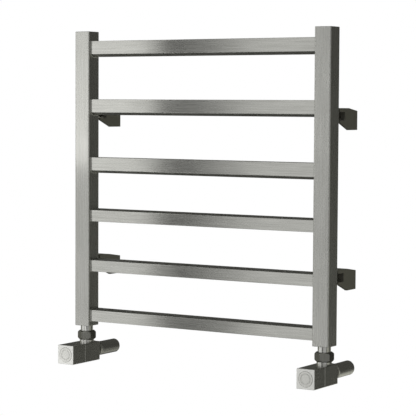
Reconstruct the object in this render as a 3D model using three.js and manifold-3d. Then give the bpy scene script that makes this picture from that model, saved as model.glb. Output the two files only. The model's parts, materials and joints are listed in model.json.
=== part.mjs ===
// Water-heated towel warmer rack: two square uprights, six flat bars, four wall brackets and a pair of
// square corner valves with their pipe connections. Millimetres.
// +X is to the right as seen from the room, -Y faces the room, +Z is up. The origin lies on the wall
// plane, midway between the axes of the four bracket pins.

import * as THREE from "three";
import { mergeVertices } from "three/addons/utils/BufferGeometryUtils.js";
import Module from "manifold-3d";

const wasm = await Module();
wasm.setup();

// ---- Driving dimensions ----

// The welded tube frame. Heights are measured down from the top of the uprights.
const RACK_WIDTH = 500;
const UPRIGHT_HEIGHT = 510;
const UPRIGHT_SIDE = 30;
const TUBE_WALL = 1.5;
const TUBE_EDGE_RADIUS = 2.5;
const BAR_DEPTH = 20;
const BAR_EDGE_RADIUS = 2;
const BARS = [
  { below: 30, height: 27 },
  { below: 130, height: 27 },
  { below: 230, height: 27 },
  { below: 316.5, height: 22 },
  { below: 403.5, height: 22 },
  { below: 490.5, height: 22 },
];
const END_PLATE = 3;

// Where the frame hangs
const WALL_TO_FRONT = 98;
const BRACKET_SPACING = 260;
const UPPER_PIN_BELOW_TOP = 142;
const VALVE_AXIS_BELOW_UPRIGHT = 45.5;

// Gaps between neighbouring pieces and between close-fitting ones, and how far a cutting tool overruns
const PLAY = 0.3;
const CLOSE_FIT = 0.1;
const OVERRUN = 1;

// A bracket, about the axis of its pin
const BLOCK = { width: 25, length: 61.5, full: 30, bevel: 0.8 };
const BLOCK_HEIGHTS = { top: 13, wallTop: 8.5, bottom: -22.5, tip: -10 };
const CHEEK = 4;
const FORK = { height: 14, depth: 19 };
const PIN = { radius: 5, thread: 4, threadLength: 9, wallEnd: 22, edge: 1 };
const BLOCK_BORE = { radius: 5.2, floor: 6 };
const WALL_HOLE = { radius: 2.75 };
const GRUB = { radius: 2.5, hole: 2.7, length: 4.4, point: 0.8, socket: 1.25, socketDepth: 2, fromWall: 30 };
const BOSS = { radius: 7, length: 12, drill: 4.2, drillDepth: 10, hole: 7.3 };

// A valve, about the crossing of its spindle axis (along Y) and its riser axis (along Z)
const BODY = { side: 32.5, front: -27, back: 16, edge: 1.5, bevel: 0.8 };
const CHAMBER = { radius: 10, seat: 3, port: 5.5 };
const PIPE = { radius: 7.5, bore: 6.5, start: 8, socket: 7.7 };
const SPIGOT = { radius: 9.8, end: 25 };
const NECK = { radius: 12.3, top: 20.5 };
const STUB = { radius: 12, top: 29.5, bore: 6.5, boreFloor: 8 };
const WASHER = { radius: 11.8, bore: 7.8, top: 31.3 };
const TAIL = { flange: 12, flangeTop: 33.5, radius: 10.7, thread: 10.3, threadLength: 7, bore: 7.5 };
const NUT = { acrossFlats: 27.5, bottom: 20.8, top: 36.2, lip: 33.8, thread: 12.2, hole: 10.9, rim: 13, chamfer: 2.5 };
const BUSH = { radius: 13, height: 7, bore: 10.5 };
const BONNET = { radius: 9.8, inner: -14, flange: 12.2, flangeFront: -33, bore: 4.2 };
const GLAND = { centre: -20, radius: 1.3, inner: 4.25, groove: 7, halfGroove: 1.6, flats: 8 };
const SPINDLE = { radius: 4, inner: -5.5, headEnd: -55.6, shieldEnd: -46, flat: 1.2, flatLength: 8 };
const PLUG = { disc: 8, face: -0.8, back: -5, sleeve: 6, sleeveEnd: -13, bore: 4.2 };
const HEAD = { front: -62, gap: 0.6, pocket: 12.8, pocketDepth: 6, bore: 4.2, capBore: 5, capBoreEnd: -48 };
const DISC = { radius: 12.4, recess: 12.6, depth: 2.2, thickness: 2 };
const DISC_GROOVE = { radius: 9.2, width: 1.2, depth: 0.5 };
const HEAD_SCREW = { radius: 2, hole: 2.2, head: 3.8, recess: 4.5, recessDepth: 2.4, length: 12, driver: 1.2 };
const GLAND_NUT = { collar: 16.2, collarEnd: 20, coneStart: 15.2, end: 32, small: 12 };
const GLAND_CAVITY = { radius: 10, end: 29.3 };
const OLIVE = { radius: 9.2, start: 25.2, end: 29, lip: 0.6 };
const SLEEVE = { radius: 12, bore: 11 };

// The air vent at the back of the right upright
const VENT = { below: 60, radius: 6.3, hole: 6.6, depth: 8, flange: 8.5, flangeHeight: 2 };
const VENT_SCREW = { radius: 2.5, bore: 2.7, inside: 6, outside: 5, slot: 1, slotDepth: 1.2 };

// Numbers of flats on turned pieces
const FINE = 20;
const PLAIN = 12;

// ---- Places worked out from the dimensions ----

const AXIS_X = (RACK_WIDTH - UPRIGHT_SIDE) / 2;
const INNER_X = AXIS_X - UPRIGHT_SIDE / 2;
const AXIS_Y = -WALL_TO_FRONT + UPRIGHT_SIDE / 2;
const BACK_Y = AXIS_Y + UPRIGHT_SIDE / 2;
const PIN_Z = BRACKET_SPACING / 2;
const TOP_Z = PIN_Z + UPPER_PIN_BELOW_TOP;
const BOTTOM_Z = TOP_Z - UPRIGHT_HEIGHT;
const VALVE_Z = BOTTOM_Z - VALVE_AXIS_BELOW_UPRIGHT;
const WALL_FROM_AXIS = -AXIS_Y;
const VENT_Z = TOP_Z - VENT.below;

// ---- Materials ----

const metal = (color, roughness) => new THREE.MeshStandardMaterial({ color, roughness, metalness: 1 });
const FINISHES = {
  tube: () => metal(0xa8a59c, 0.38),
  weldedSteel: () => metal(0x8d8b85, 0.5),
  bracket: () => metal(0x8f8c82, 0.42),
  valve: () => metal(0xb4b0a6, 0.34),
  spun: () => metal(0xd2cfc6, 0.28),
  brass: () => metal(0xc09a4c, 0.35),
  copper: () => metal(0xb8734d, 0.35),
  fastener: () => metal(0x6f6e6b, 0.45),
  rubber: () => new THREE.MeshStandardMaterial({ color: 0x1c1c1c, roughness: 0.85, metalness: 0 }),
};

// ---- Geometry helpers ----

// One closed surface: shared vertices merged, flat triangles dropped, faces turned outwards.
function closed(geometry) {
  const bare = new THREE.BufferGeometry();
  bare.setAttribute("position", geometry.getAttribute("position"));
  bare.setIndex(geometry.getIndex());
  const merged = mergeVertices(bare);
  const index = [...merged.getIndex().array];
  const triangles = [];
  for (let i = 0; i < index.length; i += 3) {
    const [a, b, c] = index.slice(i, i + 3);
    if (a !== b && b !== c && c !== a) triangles.push([a, b, c]);
  }
  const point = (i) => new THREE.Vector3().fromBufferAttribute(merged.getAttribute("position"), i);
  const volume = triangles.reduce((sum, [a, b, c]) => sum + point(a).dot(point(b).cross(point(c))), 0);
  merged.setIndex((volume < 0 ? triangles.map(([a, b, c]) => [a, c, b]) : triangles).flat());
  merged.computeVertexNormals();
  return merged;
}

function solid(geometry) {
  const surface = closed(geometry);
  const vertProperties = new Float32Array(surface.getAttribute("position").array);
  const triVerts = new Uint32Array(surface.getIndex().array);
  return new wasm.Manifold(new wasm.Mesh({ numProp: 3, vertProperties, triVerts }));
}

function surfaceOf(body) {
  const { vertProperties, triVerts } = body.getMesh();
  const geometry = new THREE.BufferGeometry();
  geometry.setAttribute("position", new THREE.BufferAttribute(vertProperties, 3));
  geometry.setIndex(new THREE.BufferAttribute(triVerts, 1));
  geometry.computeVertexNormals();
  return geometry;
}

const cut = (geometry, ...tools) => surfaceOf(tools.reduce((s, t) => s.subtract(solid(t)), solid(geometry)));

// A turned piece on the Y axis, from its [radius, y] outline. An outline off the axis closes on itself.
function turnedY(outline, flats = FINE) {
  const points = outline.map(([r, y]) => new THREE.Vector2(r, y));
  const onAxis = points[0].x === 0 && points.at(-1).x === 0;
  return closed(new THREE.LatheGeometry(onAxis ? points : [...points, points[0]], flats));
}

const turnedZ = (outline, flats = FINE) => turnedY(outline, flats).rotateX(Math.PI / 2);

// Round rods and rings between two stations on their axis
const rod = (r, from, to) => [[0, from], [r, from], [r, to], [0, to]];
const ring = (inner, outer, from, to) => [[inner, from], [outer, from], [outer, to], [inner, to]];

// A rectangle centred on the origin with rounded corners
function roundedRectangle(width, height, radius) {
  const [x, y] = [width / 2, height / 2];
  const shape = new THREE.Shape();
  shape.moveTo(x, -y + radius);
  shape.absarc(x - radius, y - radius, radius, 0, Math.PI / 2);
  shape.absarc(-x + radius, y - radius, radius, Math.PI / 2, Math.PI);
  shape.absarc(-x + radius, -y + radius, radius, Math.PI, Math.PI * 1.5);
  shape.absarc(x - radius, -y + radius, radius, Math.PI * 1.5, Math.PI * 2);
  shape.closePath();
  return shape;
}

// A straight run of a shape along Z, with its ends bevelled inwards by bevel
function extruded(shape, from, to, bevel = 0, curveSegments = 2) {
  const options = { steps: 1, curveSegments, depth: to - from - 2 * bevel, bevelEnabled: bevel > 0 };
  Object.assign(options, { bevelThickness: bevel, bevelSize: bevel, bevelOffset: -bevel, bevelSegments: 1 });
  return closed(new THREE.ExtrudeGeometry(shape, options).translate(0, 0, from + bevel));
}

// The same run laid along Y, for a section that is alike above and below, or along X, where the shape's
// own x and y become Y and Z
const alongY = (geometry) => geometry.rotateX(-Math.PI / 2);
const alongX = (geometry) => geometry.rotateX(Math.PI / 2).rotateZ(Math.PI / 2);

function box(width, depth, height, x = 0, y = 0, z = 0) {
  return new THREE.BoxGeometry(width, depth, height).translate(x, y, z);
}

function tubeShape(width, height, radius) {
  const shape = roundedRectangle(width, height, radius);
  const inside = roundedRectangle(width - 2 * TUBE_WALL, height - 2 * TUBE_WALL, radius - TUBE_WALL);
  shape.holes.push(inside);
  return shape;
}

function piece(name, geometry, finish, place = [0, 0, 0]) {
  const mesh = new THREE.Mesh(geometry, FINISHES[finish]());
  mesh.name = name;
  mesh.position.set(...place);
  return mesh;
}

function groupAt(x, y, z, ...pieces) {
  const group = new THREE.Group();
  group.position.set(x, y, z);
  group.add(...pieces);
  return group;
}

// ---- The welded frame ----

// Each upright is open towards the bars, and has round holes at the back for the bosses and the vent.
function upright(side, hasVent) {
  const inner = -side * (UPRIGHT_SIDE / 2);
  const square = tubeShape(UPRIGHT_SIDE, UPRIGHT_SIDE, TUBE_EDGE_RADIUS);
  const tube = extruded(square, BOTTOM_Z + END_PLATE, TOP_Z - END_PLATE);
  const [cutWidth, openDepth] = [2 * (TUBE_WALL + OVERRUN), BAR_DEPTH - 2 * TUBE_WALL];
  const windows = BARS.map(({ below, height }) =>
    box(cutWidth, openDepth, height - 2 * TUBE_WALL, inner, 0, TOP_Z - below));
  const back = UPRIGHT_SIDE / 2;
  const backHole = (r, z) =>
    turnedY(rod(r, back - TUBE_WALL - OVERRUN, back + OVERRUN), PLAIN).translate(0, 0, z);
  const holes = [backHole(BOSS.hole, PIN_Z), backHole(BOSS.hole, -PIN_Z)];
  if (hasVent) holes.push(backHole(VENT.hole, VENT_Z));
  return cut(tube, ...windows, ...holes);
}

const endPlate = (from, to) =>
  extruded(roundedRectangle(UPRIGHT_SIDE, UPRIGHT_SIDE, TUBE_EDGE_RADIUS), from, to);

// The bottom plate carries the bush that the valve's tailpiece screws into.
function bottomBush() {
  const plate = endPlate(BOTTOM_Z, BOTTOM_Z + END_PLATE);
  const bushTop = BOTTOM_Z + END_PLATE + BUSH.height;
  const bush = turnedZ(rod(BUSH.radius, BOTTOM_Z + END_PLATE / 2, bushTop), PLAIN);
  const bore = turnedZ(rod(BUSH.bore, BOTTOM_Z - OVERRUN, bushTop + OVERRUN));
  return surfaceOf(solid(plate).add(solid(bush)).subtract(solid(bore)));
}

function bar(height) {
  const section = tubeShape(height, BAR_DEPTH, BAR_EDGE_RADIUS);
  return extruded(section, -INNER_X, INNER_X).rotateY(Math.PI / 2);
}

function frame() {
  const pieces = [];
  for (const [name, side] of [["left", -1], ["right", 1]]) {
    const place = [side * AXIS_X, AXIS_Y, 0];
    pieces.push(piece(`upright_${name}`, upright(side, side > 0), "tube", place));
    pieces.push(piece(`top_cap_${name}`, endPlate(TOP_Z - END_PLATE, TOP_Z), "tube", place));
    pieces.push(piece(`bottom_bush_${name}`, bottomBush(), "weldedSteel", place));
  }
  BARS.forEach(({ below, height }, i) => {
    pieces.push(piece(`bar_${i + 1}`, bar(height), "tube", [0, AXIS_Y, TOP_Z - below]));
  });
  return groupAt(0, 0, 0, ...pieces);
}

// ---- A wall bracket ----

// Side outline of the block: it falls a little towards the wall on top, tapers below towards its fork
function blockShape() {
  const half = FORK.height / 2;
  const shape = new THREE.Shape();
  shape.moveTo(0, BLOCK_HEIGHTS.bottom);
  shape.lineTo(0, BLOCK_HEIGHTS.wallTop);
  shape.lineTo(-BLOCK.full, BLOCK_HEIGHTS.top);
  shape.lineTo(-BLOCK.length, BLOCK_HEIGHTS.top);
  shape.lineTo(-BLOCK.length, half);
  shape.lineTo(-BLOCK.length + FORK.depth, half);
  shape.lineTo(-BLOCK.length + FORK.depth, -half);
  shape.lineTo(-BLOCK.length, -half);
  shape.lineTo(-BLOCK.length, BLOCK_HEIGHTS.tip);
  shape.lineTo(-BLOCK.full, BLOCK_HEIGHTS.bottom);
  shape.closePath();
  return shape;
}

// The bore takes the pin from the front, and its floor has the hole for the wall screw. Below the fork
// only a cheek on the block's right side is left.
function bracketBlock() {
  const half = BLOCK.width / 2;
  const block = alongX(extruded(blockShape(), -half, half, BLOCK.bevel));
  const below = BLOCK_HEIGHTS.tip - BLOCK_HEIGHTS.bottom + OVERRUN;
  const besideCheek = box(BLOCK.width, 2 * (BLOCK.length + OVERRUN), below, -CHEEK, 0, BLOCK_HEIGHTS.tip - below / 2);
  const bore = turnedY(rod(BLOCK_BORE.radius, -BLOCK.length, -BLOCK_BORE.floor), PLAIN);
  const wallHole = turnedY(rod(WALL_HOLE.radius, -BLOCK_BORE.floor - OVERRUN, OVERRUN), PLAIN);
  const grubHole = turnedZ(rod(GRUB.hole, BLOCK_HEIGHTS.bottom - OVERRUN, 0), PLAIN);
  grubHole.translate(0, -GRUB.fromWall, 0);
  return cut(block, besideCheek, bore, wallHole, grubHole);
}

function bracketPin() {
  const [shoulder, end] = [BACK_Y, -PIN.wallEnd];
  return turnedY([
    [0, shoulder - PIN.threadLength], [PIN.thread, shoulder - PIN.threadLength], [PIN.thread, shoulder],
    [PIN.radius, shoulder], [PIN.radius, end - PIN.edge], [PIN.radius - PIN.edge, end], [0, end],
  ], PLAIN);
}

const bracketBoss = () => turnedY([
  [0, BACK_Y - BOSS.length], [BOSS.radius, BACK_Y - BOSS.length], [BOSS.radius, BACK_Y],
  [BOSS.drill, BACK_Y], [BOSS.drill, BACK_Y - BOSS.drillDepth], [0, BACK_Y - BOSS.drillDepth],
], PLAIN);

// The grub screw comes up from below and bears on the pin.
function grubScrew() {
  const top = -PIN.radius - CLOSE_FIT;
  const bottom = top - GRUB.length;
  return turnedZ([
    [0, bottom + GRUB.socketDepth], [GRUB.socket, bottom + GRUB.socketDepth], [GRUB.socket, bottom],
    [GRUB.radius, bottom], [GRUB.radius, top - GRUB.point], [GRUB.radius - GRUB.point, top], [0, top],
  ], PLAIN).translate(0, -GRUB.fromWall, 0);
}

function bracket(name, x, z) {
  return groupAt(x, 0, z,
    piece(`bracket_${name}_block`, bracketBlock(), "bracket"),
    piece(`bracket_${name}_pin`, bracketPin(), "fastener"),
    piece(`bracket_${name}_boss`, bracketBoss(), "weldedSteel"),
    piece(`bracket_${name}_grub_screw`, grubScrew(), "fastener"));
}

// ---- A corner valve ----

function valveBody() {
  const square = roundedRectangle(BODY.side, BODY.side, BODY.edge);
  const block = alongY(extruded(square, BODY.front, BODY.back, BODY.bevel));
  const neck = turnedZ(rod(NECK.radius, 0, NECK.top));
  const stub = turnedZ(rod(STUB.radius, 0, STUB.top));
  const spigot = turnedY(rod(SPIGOT.radius, 0, SPIGOT.end), PLAIN);
  const chamber = turnedY(rod(CHAMBER.radius, BODY.front - OVERRUN, CHAMBER.seat), PLAIN);
  const port = turnedY(rod(CHAMBER.port, 0, PIPE.start + OVERRUN), PLAIN);
  const socket = turnedY(rod(PIPE.socket, PIPE.start, SPIGOT.end + OVERRUN));
  const riser = turnedZ(rod(STUB.bore, STUB.boreFloor, STUB.top + OVERRUN), PLAIN);
  const outside = [neck, stub, spigot].reduce((s, g) => s.add(solid(g)), solid(block));
  return surfaceOf([chamber, port, socket, riser].reduce((s, g) => s.subtract(solid(g)), outside));
}

const unionWasher = () => turnedZ(ring(WASHER.bore, WASHER.radius, STUB.top, WASHER.top), PLAIN);

// Flange under the nut's lip, plain collar up to the upright, then the end that screws into the bush
function tailpiece() {
  const shoulder = VALVE_AXIS_BELOW_UPRIGHT;
  return turnedZ([
    [TAIL.bore, WASHER.top], [TAIL.flange, WASHER.top], [TAIL.flange, TAIL.flangeTop],
    [TAIL.radius, TAIL.flangeTop], [TAIL.radius, shoulder], [TAIL.thread, shoulder],
    [TAIL.thread, shoulder + TAIL.threadLength], [TAIL.bore, shoulder + TAIL.threadLength],
  ]);
}

// A hexagon with a corner to the front, whose six corners are turned off at both ends
function unionNut() {
  const corner = NUT.acrossFlats / Math.sqrt(3);
  const hexagon = turnedZ(rod(corner, NUT.bottom, NUT.top), 6);
  const turned = turnedZ([
    [0, NUT.bottom], [NUT.rim, NUT.bottom], [corner, NUT.bottom + NUT.chamfer],
    [corner, NUT.top - NUT.chamfer], [NUT.rim, NUT.top], [0, NUT.top],
  ]);
  const thread = turnedZ(rod(NUT.thread, NUT.bottom - OVERRUN, NUT.lip));
  const hole = turnedZ(rod(NUT.hole, NUT.bottom, NUT.top + OVERRUN));
  return surfaceOf(
    solid(hexagon).intersect(solid(turned)).subtract(solid(thread)).subtract(solid(hole)));
}

// Screwed into the chamber; the spindle turns in it, sealed by the ring in its groove
const bonnet = () => turnedY([
  [BONNET.bore, BONNET.flangeFront], [BONNET.flange, BONNET.flangeFront], [BONNET.flange, BODY.front],
  [BONNET.radius, BODY.front], [BONNET.radius, BONNET.inner], [BONNET.bore, BONNET.inner],
  [BONNET.bore, GLAND.centre + GLAND.halfGroove], [GLAND.groove, GLAND.centre + GLAND.halfGroove],
  [GLAND.groove, GLAND.centre - GLAND.halfGroove], [BONNET.bore, GLAND.centre - GLAND.halfGroove],
], PLAIN);

function glandRing() {
  const circle = Array.from({ length: GLAND.flats }, (_, i) => (i / GLAND.flats) * 2 * Math.PI);
  const middle = GLAND.inner + GLAND.radius;
  return turnedY(circle.map((a) =>
    [middle + GLAND.radius * Math.cos(a), GLAND.centre + GLAND.radius * Math.sin(a)]), PLAIN);
}

// The spindle for the wheel head is drilled for its screw; the other ends in two spanner flats.
const headSpindle = () => turnedY([
  [0, SPINDLE.headEnd + HEAD_SCREW.length], [HEAD_SCREW.hole, SPINDLE.headEnd + HEAD_SCREW.length],
  [HEAD_SCREW.hole, SPINDLE.headEnd], [SPINDLE.radius, SPINDLE.headEnd],
  [SPINDLE.radius, SPINDLE.inner], [0, SPINDLE.inner],
], PLAIN);

function shieldSpindle() {
  const shaft = turnedY(rod(SPINDLE.radius, SPINDLE.shieldEnd, SPINDLE.inner), PLAIN);
  const width = 2 * SPINDLE.radius;
  const offset = SPINDLE.radius - SPINDLE.flat + width / 2;
  const flats = [-1, 1].map((s) => box(width, 2 * SPINDLE.flatLength, width, s * offset, SPINDLE.shieldEnd));
  return cut(shaft, ...flats);
}

// The disc closes on the seat; its sleeve runs on the spindle's screw.
const plug = () => turnedY([
  [0, PLUG.back], [PLUG.bore, PLUG.back], [PLUG.bore, PLUG.sleeveEnd], [PLUG.sleeve, PLUG.sleeveEnd],
  [PLUG.sleeve, PLUG.back], [PLUG.disc, PLUG.back], [PLUG.disc, PLUG.face], [0, PLUG.face],
], PLAIN);

const HEAD_BACK = BODY.front - HEAD.gap;

const SCREW_SEAT = HEAD.front + DISC.depth + HEAD_SCREW.recessDepth;

// The square block in front of the body
function squareHead() {
  const square = roundedRectangle(BODY.side, BODY.side, BODY.edge);
  return alongY(extruded(square, HEAD.front, HEAD_BACK, BODY.bevel));
}

const headRecess = () => turnedY(rod(DISC.recess, HEAD.front - OVERRUN, HEAD.front + DISC.depth));
const headPocket = () =>
  turnedY(rod(HEAD.pocket, HEAD_BACK - HEAD.pocketDepth, HEAD_BACK + OVERRUN), PLAIN);

function wheelHead() {
  const bore = turnedY(rod(HEAD.bore, SPINDLE.headEnd - PLAY, HEAD_BACK), PLAIN);
  const screwRecess = turnedY(rod(HEAD_SCREW.recess, HEAD.front, SCREW_SEAT), PLAIN);
  const screwHole = turnedY(rod(HEAD_SCREW.hole, HEAD.front, SPINDLE.headEnd), PLAIN);
  return cut(squareHead(), headRecess(), headPocket(), bore, screwRecess, screwHole);
}

function shieldCap() {
  const bore = turnedY(rod(HEAD.capBore, HEAD.capBoreEnd, HEAD_BACK), PLAIN);
  return cut(squareHead(), headRecess(), headPocket(), bore);
}

// Round cover in the head's face, with a turned ring groove
function faceDisc() {
  const [front, back] = [HEAD.front, HEAD.front + DISC.thickness];
  const inner = DISC_GROOVE.radius - DISC_GROOVE.width;
  const floor = front + DISC_GROOVE.depth;
  return turnedY([
    [0, front], [inner, front], [inner, floor], [DISC_GROOVE.radius, floor],
    [DISC_GROOVE.radius, front], [DISC.radius, front], [DISC.radius, back], [0, back],
  ]);
}

function headScrew() {
  const top = HEAD.front + DISC.depth + PLAY;
  const socketFloor = top + HEAD_SCREW.driver;
  const tip = SPINDLE.headEnd + HEAD_SCREW.length - PLAY;
  return turnedY([
    [0, socketFloor], [HEAD_SCREW.driver, socketFloor], [HEAD_SCREW.driver, top], [HEAD_SCREW.head, top],
    [HEAD_SCREW.head, SCREW_SEAT], [HEAD_SCREW.radius, SCREW_SEAT], [HEAD_SCREW.radius, tip], [0, tip],
  ], PLAIN);
}

// Round nut with a conical neck, over the body's spigot
const compressionNut = () => turnedY([
  [GLAND_CAVITY.radius, BODY.back + PLAY], [GLAND_NUT.collar, BODY.back + PLAY],
  [GLAND_NUT.collar, GLAND_NUT.collarEnd], [GLAND_NUT.coneStart, GLAND_NUT.collarEnd],
  [GLAND_NUT.small, GLAND_NUT.end], [PIPE.socket, GLAND_NUT.end],
  [PIPE.socket, GLAND_CAVITY.end], [GLAND_CAVITY.radius, GLAND_CAVITY.end],
]);

function olive() {
  const middle = (OLIVE.start + OLIVE.end) / 2;
  const bore = PIPE.radius + CLOSE_FIT;
  return turnedY([
    [bore, OLIVE.start], [bore + OLIVE.lip, OLIVE.start], [OLIVE.radius, middle],
    [bore + OLIVE.lip, OLIVE.end], [bore, OLIVE.end],
  ]);
}

const supplyPipe = () => turnedY(ring(PIPE.bore, PIPE.radius, PIPE.start, WALL_FROM_AXIS));
const pipeSleeve = () => turnedY(ring(SLEEVE.bore, SLEEVE.radius, GLAND_NUT.end + PLAY, WALL_FROM_AXIS));

function valveCommon(name) {
  return [
    piece(`${name}_valve_body`, valveBody(), "valve"),
    piece(`${name}_valve_union_washer`, unionWasher(), "rubber"),
    piece(`${name}_valve_tailpiece`, tailpiece(), "valve"),
    piece(`${name}_valve_union_nut`, unionNut(), "valve"),
    piece(`${name}_valve_bonnet`, bonnet(), "brass"),
    piece(`${name}_valve_gland_ring`, glandRing(), "rubber"),
    piece(`${name}_valve_plug`, plug(), "brass"),
    piece(`${name}_valve_compression_nut`, compressionNut(), "valve"),
    piece(`${name}_valve_olive`, olive(), "brass"),
    piece(`${name}_supply_pipe`, supplyPipe(), "copper"),
    piece(`${name}_pipe_sleeve`, pipeSleeve(), "valve"),
  ];
}

function wheelValve() {
  return groupAt(-AXIS_X, AXIS_Y, VALVE_Z,
    ...valveCommon("left"),
    piece("left_valve_spindle", headSpindle(), "brass"),
    piece("left_valve_head", wheelHead(), "valve"),
    piece("left_valve_head_screw", headScrew(), "fastener"),
    piece("left_valve_head_disc", faceDisc(), "spun"));
}

function lockshieldValve() {
  return groupAt(AXIS_X, AXIS_Y, VALVE_Z,
    ...valveCommon("right"),
    piece("right_valve_spindle", shieldSpindle(), "brass"),
    piece("right_valve_cap", shieldCap(), "valve"),
    piece("right_valve_cap_disc", faceDisc(), "spun"));
}

// ---- The air vent ----

const ventBody = () => turnedY([
  [VENT_SCREW.bore, -VENT.depth], [VENT.radius, -VENT.depth], [VENT.radius, 0],
  [VENT.flange, 0], [VENT.flange, VENT.flangeHeight], [VENT_SCREW.bore, VENT.flangeHeight],
], PLAIN);

function ventScrew() {
  const { radius, inside, outside, slot, slotDepth } = VENT_SCREW;
  const shaft = turnedY(rod(radius, -inside, outside), PLAIN);
  return cut(shaft, box(2 * (radius + OVERRUN), 2 * slotDepth, slot, 0, outside));
}

function airVent() {
  return groupAt(AXIS_X, BACK_Y, VENT_Z,
    piece("air_vent_body", ventBody(), "valve"),
    piece("air_vent_screw", ventScrew(), "brass"));
}

// ---- The whole rack ----

const rack = new THREE.Group();
rack.add(frame(), wheelValve(), lockshieldValve(), airVent());
for (const [level, z] of [["upper", PIN_Z], ["lower", -PIN_Z]]) {
  for (const [side, x] of [["left", -AXIS_X], ["right", AXIS_X]]) {
    rack.add(bracket(`${level}_${side}`, x, z));
  }
}

export default rack;
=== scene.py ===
# %% [markdown]
# # A towel warmer rack in brushed stainless steel
# The rack is a plumber's object: two square tubes, six flat bars welded between them, four wall brackets,
# and a square corner valve under each tube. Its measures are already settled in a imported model, which is
# loaded here and never moved. This lesson gives that model its looks: rounded edges, welds, turned faces,
# brushed metal, light and a camera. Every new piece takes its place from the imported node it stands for.

# %% Tools and the fixed frame
import json
import math

import bmesh
import bpy
import numpy as np
from mathutils import Matrix, Vector


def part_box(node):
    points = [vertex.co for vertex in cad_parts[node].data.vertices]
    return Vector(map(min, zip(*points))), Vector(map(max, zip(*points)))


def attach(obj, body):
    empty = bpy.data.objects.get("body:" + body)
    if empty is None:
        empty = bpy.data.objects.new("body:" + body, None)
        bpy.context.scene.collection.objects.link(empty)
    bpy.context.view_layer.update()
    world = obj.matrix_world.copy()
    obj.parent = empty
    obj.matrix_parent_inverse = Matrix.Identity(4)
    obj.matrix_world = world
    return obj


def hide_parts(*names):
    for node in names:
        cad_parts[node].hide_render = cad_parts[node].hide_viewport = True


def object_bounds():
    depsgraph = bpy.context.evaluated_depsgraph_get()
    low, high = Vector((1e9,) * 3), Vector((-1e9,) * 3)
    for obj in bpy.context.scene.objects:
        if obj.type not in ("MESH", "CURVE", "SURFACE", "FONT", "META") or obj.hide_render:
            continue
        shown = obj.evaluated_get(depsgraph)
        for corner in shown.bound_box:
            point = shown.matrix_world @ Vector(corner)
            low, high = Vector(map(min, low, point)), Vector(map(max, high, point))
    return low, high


MM = 0.001

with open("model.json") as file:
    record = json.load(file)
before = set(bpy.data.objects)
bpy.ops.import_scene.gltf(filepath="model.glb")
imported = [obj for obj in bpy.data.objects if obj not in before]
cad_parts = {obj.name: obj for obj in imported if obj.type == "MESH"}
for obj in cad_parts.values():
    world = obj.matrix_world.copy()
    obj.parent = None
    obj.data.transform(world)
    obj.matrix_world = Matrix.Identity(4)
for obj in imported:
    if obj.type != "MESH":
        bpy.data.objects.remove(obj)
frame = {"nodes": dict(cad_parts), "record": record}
cad_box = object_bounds()

# %% [markdown]
# ## Light, floor and camera
# The rack hangs in an empty pale studio, seen from the front and the right with a long lens, so that the
# two uprights keep nearly the same size. Polished and brushed metal shows its surroundings more than its
# own colour, so most of the look of steel is decided by where the bright panels stand. The panels are on
# the room's side, and they leave a dark gap between them, which the bars show as a soft dark band.

# %% The camera
LENS = 148.5
AZIMUTH, PITCH, ROLL, PAN = 32.26, -3.48, 0.30, -0.23
CAMERA_DISTANCE, CAMERA_BELOW_TOP = 2.858, 0.123

upright_low, upright_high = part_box("upright_left")
FRAME_Y = (upright_low.y + upright_high.y) / 2
FRAME_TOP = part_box("top_cap_left")[1].z


def studio_camera():
    """A camera that looks back along the direction at AZIMUTH, tipped by PITCH, turned by PAN and rolled
    by ROLL."""
    azimuth, pitch, roll, pan = (math.radians(a) for a in (AZIMUTH, PITCH, ROLL, PAN))
    back = Vector((math.sin(azimuth), -math.cos(azimuth), 0))
    turn = Matrix.Rotation(pan, 3, "Z")
    right = turn @ Vector((math.cos(azimuth), math.sin(azimuth), 0))
    forward = turn @ (-back * math.cos(pitch) + Vector((0, 0, math.sin(pitch))))
    up = right.cross(forward)
    right, up = (right * math.cos(roll) + up * math.sin(roll), up * math.cos(roll) - right * math.sin(roll))
    camera = bpy.data.objects.new("studio_camera", bpy.data.cameras.new("studio_camera"))
    camera.data.lens = LENS
    place = Vector((0, FRAME_Y, FRAME_TOP - CAMERA_BELOW_TOP)) + back * CAMERA_DISTANCE
    camera.matrix_world = Matrix.Translation(place) @ Matrix((right, up, -forward)).transposed().to_4x4()
    bpy.context.scene.collection.objects.link(camera)
    bpy.context.scene.camera = camera
    return camera


camera = studio_camera()
print("camera at", [round(v, 3) for v in camera.location])

# %% [markdown]
# ## Colours and nodes
# A paint chart gives colours as sRGB hex values, and Blender's shaders work in linear light, so one
# function turns the first into the second. Every material and the surroundings are node trees, and one
# other function adds a node, sets it, and links its inputs.

# %% Colour and node helpers


def linear(hex_colour):
    """Linear RGBA of an sRGB hex value: below 0.04045 a straight line, above it a power curve of 2.4."""
    srgb = np.array([int(hex_colour[i:i + 2], 16) for i in (0, 2, 4)]) / 255
    light = np.where(srgb <= 0.04045, srgb / 12.92, ((srgb + 0.055) / 1.055) ** 2.4)
    return (*light.tolist(), 1.0)


def add(tree, kind, inputs=None, **settings):
    """Adds a node of that kind. Each input takes either another node's output or a value for its own
    socket."""
    made = tree.nodes.new(kind)
    for name, value in settings.items():
        setattr(made, name, value)
    for name, value in (inputs or {}).items():
        if isinstance(value, bpy.types.NodeSocket):
            tree.links.new(value, made.inputs[name])
        else:
            made.inputs[name].default_value = value
    return made


# %% [markdown]
# ## The studio
# The backdrop seen by the camera is plain white. What the metal reflects is another matter: a white room
# on all sides would make steel look like plaster. To reflections the room is dim, with a few soft bright
# patches that model every side of the rack, and white cards stand close in front on the room's side. The
# cards leave a dark gap, which is the soft dark band on the bars, and the two cards on the left meet at
# mid height, which is the change of tone halfway down the left upright.

# %% Surroundings: white to the camera, dim with soft patches to reflections
WHITE = linear("ffffff")
DIM_LIGHT = 0.08
DIM_COLOUR = linear("f4f4e8")
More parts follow.
